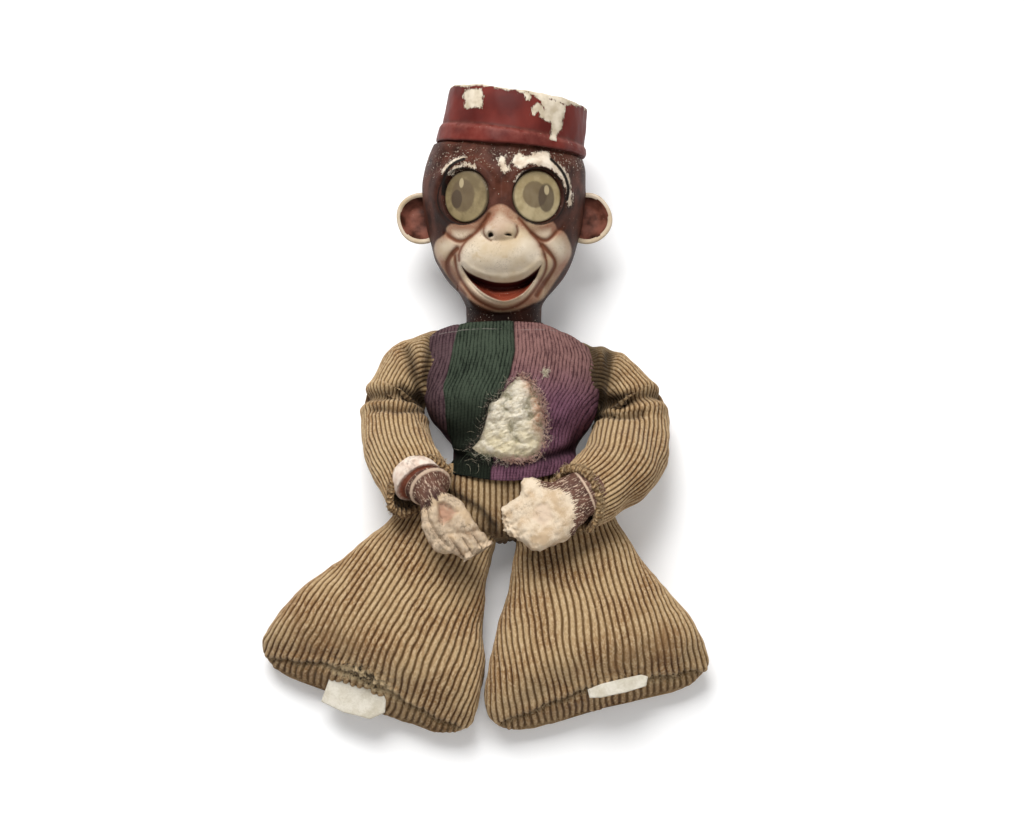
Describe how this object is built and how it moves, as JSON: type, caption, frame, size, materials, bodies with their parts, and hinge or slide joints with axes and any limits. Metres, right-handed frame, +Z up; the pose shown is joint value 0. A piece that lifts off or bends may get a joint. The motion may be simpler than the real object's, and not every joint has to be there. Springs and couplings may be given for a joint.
{
  "type": "monkey doll",
  "caption": "Stuffed monkey doll with a knit body, corduroy arms and bell-shaped legs, a cast head with round disc eyes and a pillbox hat, and cast hands.",
  "frame": {"origin": "middle of the flat face under the back, where the lying doll rests", "axes": "+X towards the doll's left, +Y towards its head, +Z up from the surface it lies on"},
  "size_m": [0.2119, 0.3258, 0.0897],
  "materials": {
    "face_paint": "worn satin paint, cream and red-brown, chipped",
    "red_paint": "worn satin paint, chipped to cream",
    "eye_card": "matt print",
    "eye_lens": "yellowed, finely ribbed",
    "green_knit": "ribbed wool knit",
    "purple_knit": "ribbed wool knit",
    "dull_knit": "ribbed wool knit",
    "corduroy": "worn wide-wale corduroy",
    "cotton": "loose cotton",
    "cord": "twisted thread",
    "tape": "stiff woven tape"
  },
  "bodies": {
    "torso": {"sweater_purple": "purple_knit", "sweater_green": "green_knit", "sweater_side": "dull_knit", "sweater_back": "dull_knit", "seat_front": "corduroy", "seat_back": "corduroy", "torso_stuffing": "cotton", "neckband": "green_knit", "neck_tie": "cord"},
    "head": {"head_shell": "face_paint", "hat": "red_paint", "eye_print_right": "eye_card", "eye_lens_right": "eye_lens", "eye_print_left": "eye_card", "eye_lens_left": "eye_lens"},
    "arm_right": {"sleeve_right": "corduroy", "arm_stuffing_right": "cotton"},
    "hand_right": {"hand_right": "face_paint"},
    "leg_right": {"leg_front_right": "corduroy", "leg_back_right": "corduroy", "leg_stuffing_right": "cotton", "foot_tab_right": "tape"},
    "arm_left": {"sleeve_left": "corduroy", "arm_stuffing_left": "cotton"},
    "hand_left": {"hand_left": "face_paint"},
    "leg_left": {"leg_front_left": "corduroy", "leg_back_left": "corduroy", "leg_stuffing_left": "cotton", "foot_tab_left": "tape"}
  },
  "joints": [
    {"name": "neck_turn", "type": "hinge", "parent": "torso", "child": "head", "pos_m": [-0.001, 0.0436, 0.027], "axis": [0, 0.9659, 0.2588], "range_deg": [-45, 45]},
    {"name": "shoulder_right", "type": "hinge", "parent": "torso", "child": "arm_right", "pos_m": [-0.0495, 0.0135, 0.02], "axis": [0, 0, -1], "range_deg": [0, 100]},
    {"name": "wrist_right", "type": "hinge", "parent": "arm_right", "child": "hand_right", "pos_m": [-0.04241, -0.05168, 0.056], "axis": [0.5433, -0.8396, 0], "range_deg": [-30, 30]},
    {"name": "shoulder_left", "type": "hinge", "parent": "torso", "child": "arm_left", "pos_m": [0.0555, 0.0135, 0.02], "axis": [0, 0, 1], "range_deg": [0, 100]},
    {"name": "wrist_left", "type": "hinge", "parent": "arm_left", "child": "hand_left", "pos_m": [0.03374, -0.05494, 0.0565], "axis": [-0.8815, -0.4721, 0], "range_deg": [-30, 30]},
    {"name": "hip_right", "type": "hinge", "parent": "torso", "child": "leg_right", "pos_m": [-0.031, -0.067, 0], "axis": [0, 0, -1], "range_deg": [0, 20]},
    {"name": "hip_left", "type": "hinge", "parent": "torso", "child": "leg_left", "pos_m": [0.031, -0.067, 0], "axis": [0, 0, 1], "range_deg": [0, 34]}
  ]
}
